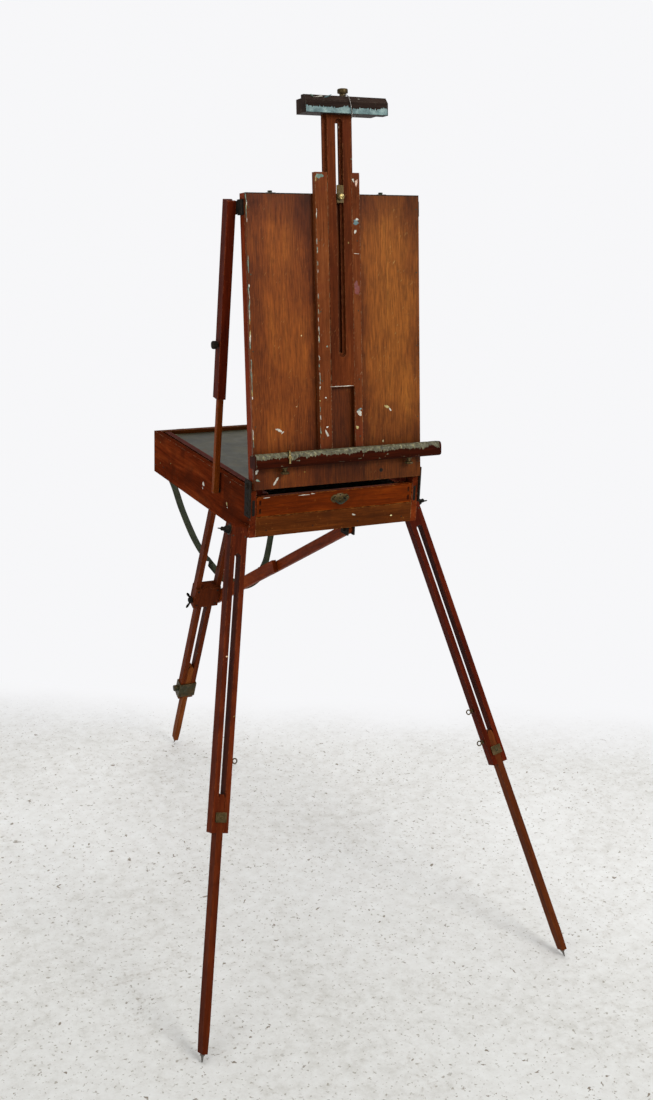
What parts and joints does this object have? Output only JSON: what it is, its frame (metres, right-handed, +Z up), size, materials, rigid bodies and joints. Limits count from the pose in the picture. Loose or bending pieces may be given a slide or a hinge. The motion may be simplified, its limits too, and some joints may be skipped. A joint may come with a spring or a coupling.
{
  "type": "box easel",
  "caption": "Folding wooden box easel on three telescopic legs, with a hinged lid, canvas ledge, sliding mast, drawer and palette.",
  "frame": {"origin": "on the floor at the middle of the stance, midway between the outermost points of the feet", "axes": "+Z up; -Y is the front, towards which the drawer opens; +X to the right seen from the front"},
  "size_m": [0.8195, 1.2608, 1.7072],
  "materials": {
    "red_wood": "worn red-brown varnish",
    "light_wood": "worn orange-brown varnish",
    "inner_wood": "dull, bare",
    "black_iron": "blackened, worn",
    "bronze": "dull, tarnished",
    "bright_steel": "dull",
    "zinc": "dull sheet",
    "webbing": "woven cotton",
    "palette_face": "dull, stained"
  },
  "bodies": {
    "box": {"box_side_left": "red_wood", "box_side_right": "red_wood", "box_back": "red_wood", "box_front_rail": "red_wood", "box_bottom": "inner_wood", "inner_rails": "inner_wood", "side_irons": "black_iron", "leg_wedges": "red_wood", "leg_bolts": "black_iron", "rear_hinge_block": "red_wood", "rear_hinge_pin": "black_iron", "brace_bracket": "black_iron", "carry_strap": "webbing", "strap_anchors": "black_iron", "back_latches": "bronze"},
    "palette": {"palette": "palette_face"},
    "drawer": {"drawer_front": "red_wood", "drawer_carcass": "inner_wood", "drawer_bottom": "inner_wood", "drawer_tray": "zinc", "pull_plate": "bronze"},
    "bail": {"pull_bail": "bronze"},
    "lid": {"lid_panel": "light_wood", "lid_frame": "red_wood", "mast_guide": "red_wood", "lid_catches": "bronze", "stay_brackets": "black_iron", "ledge": "red_wood", "ledge_hook": "bright_steel", "ledge_screws": "bronze", "mast_clamp": "bronze"},
    "mast": {"mast": "light_wood", "head_front": "red_wood", "head_back": "red_wood"},
    "head_screw": {"head_screw": "bronze"},
    "rod_left": {"stay_rod_left": "light_wood"},
    "channel_left": {"stay_channel_left": "red_wood", "stay_knob_left": "black_iron"},
    "leg_left": {"leg_left_outer": "red_wood", "leg_left_clamp": "bronze"},
    "leg_right": {"leg_right_outer": "red_wood", "leg_right_clamp": "bronze"},
    "shank_left": {"leg_left_inner": "light_wood", "leg_left_spike": "bright_steel"},
    "shank_right": {"leg_right_inner": "light_wood", "leg_right_spike": "bright_steel"},
    "wing_left": {"leg_left_wing": "bronze"},
    "wing_right": {"leg_right_wing": "bronze"},
    "rear_yoke": {"rear_yoke": "red_wood"},
    "rear_wing": {"rear_wing": "bronze"},
    "rear_middle": {"rear_middle": "light_wood", "rear_clamp": "bronze"},
    "rear_foot": {"rear_foot": "light_wood", "rear_spike": "bright_steel"},
    "brace_upper": {"brace_upper": "red_wood"},
    "brace_lower": {"brace_lower": "red_wood"}
  },
  "joints": [
    {"name": "lid_tilt", "type": "hinge", "parent": "box", "child": "lid", "pos_m": [0, -0.2756, 0.9821], "axis": [-1, 0, 0], "range_deg": [-10, 82.4]},
    {"name": "drawer_slide", "type": "slide", "parent": "box", "child": "drawer", "axis": [0, 1, 0], "range_m": [-0.3, 0]},
    {"name": "bail_swing", "type": "hinge", "parent": "drawer", "child": "bail", "pos_m": [0.008, -0.2877, 0.945], "axis": [-1, 0, 0], "range_deg": [0, 70]},
    {"name": "palette_lift", "type": "slide", "parent": "box", "child": "palette", "axis": [0, 0, -1], "range_m": [-0.12, 0]},
    {"name": "mast_slide", "type": "slide", "parent": "lid", "child": "mast", "axis": [0, -0.1323, -0.9912], "range_m": [-0.16, 0.1], "stiffness_N_per_m": 6000},
    {"name": "turn_head_screw", "type": "hinge", "parent": "mast", "child": "head_screw", "pos_m": [0.017, -0.20662, 1.69205], "axis": [0, 0.1323, 0.9912], "continuous": true},
    {"name": "stay_left_swing", "type": "hinge", "parent": "box", "child": "rod_left", "pos_m": [0, -0.1307, 0.936], "axis": [-1, 0, 0], "range_deg": [-11.78, 92.21]},
    {"name": "stay_left_slide", "type": "slide", "parent": "rod_left", "child": "channel_left", "axis": [0, 0.0947, -0.9955], "range_m": [-0.02346, 0.18529]},
    {"name": "leg_left_fold", "type": "hinge", "parent": "box", "child": "leg_left", "pos_m": [-0.2055, -0.2707, 0.894], "axis": [0.9755, 0, -0.22], "range_deg": [0, 111.24]},
    {"name": "leg_left_slide", "type": "slide", "parent": "leg_left", "child": "shank_left", "axis": [0.205, 0.3623, 0.9092], "range_m": [-0.04, 0.43], "stiffness_N_per_m": 15000},
    {"name": "turn_wing_left", "type": "hinge", "parent": "box", "child": "wing_left", "pos_m": [-0.2055, -0.2707, 0.894], "axis": [0.9755, 0, -0.22], "continuous": true},
    {"name": "leg_right_fold", "type": "hinge", "parent": "box", "child": "leg_right", "pos_m": [0.2055, -0.2207, 0.894], "axis": [0.9755, 0, 0.22], "range_deg": [0, 113.91]},
    {"name": "leg_right_slide", "type": "slide", "parent": "leg_right", "child": "shank_right", "axis": [-0.2011, 0.4052, 0.8918], "range_m": [-0.04, 0.43], "stiffness_N_per_m": 15000},
    {"name": "turn_wing_right", "type": "hinge", "parent": "box", "child": "wing_right", "pos_m": [0.2055, -0.2207, 0.894], "axis": [0.9755, 0, 0.22], "continuous": true},
    {"name": "rear_fold", "type": "hinge", "parent": "box", "child": "rear_yoke", "pos_m": [0, 0.2553, 0.865], "axis": [-1, 0, 0], "range_deg": [0, 113.28]},
    {"name": "rear_slide", "type": "slide", "parent": "rear_yoke", "child": "rear_middle", "axis": [0, -0.3952, 0.9186], "range_m": [-0.05, 0.25], "stiffness_N_per_m": 15000},
    {"name": "rear_foot_slide", "type": "slide", "parent": "rear_middle", "child": "rear_foot", "axis": [0, -0.3952, 0.9186], "range_m": [-0.05, 0.22], "stiffness_N_per_m": 15000},
    {"name": "turn_wing_rear", "type": "hinge", "parent": "rear_yoke", "child": "rear_wing", "pos_m": [-0.038, 0.41339, 0.49757], "axis": [-1, 0, 0], "continuous": true},
    {"name": "brace_swing", "type": "hinge", "parent": "box", "child": "brace_upper", "pos_m": [0.05, -0.2427, 0.865], "axis": [1, 0, 0], "range_deg": [-0.2, 29.45]},
    {"name": "brace_knee", "type": "hinge", "parent": "brace_upper", "child": "brace_lower", "pos_m": [0.045, 0.1281, 0.65734], "axis": [-1, 0, 0], "range_deg": [-0.2, 180.2]}
  ],
  "couplings": [
    {"joint": "stay_left_swing", "follows": "lid_tilt", "ratio": 1.1178},
    {"joint": "stay_left_slide", "follows": "lid_tilt", "m_per_rad": 0.1287},
    {"joint": "brace_swing", "follows": "rear_fold", "ratio": 0.25821},
    {"joint": "brace_knee", "follows": "rear_fold", "ratio": 1.589}
  ]
}
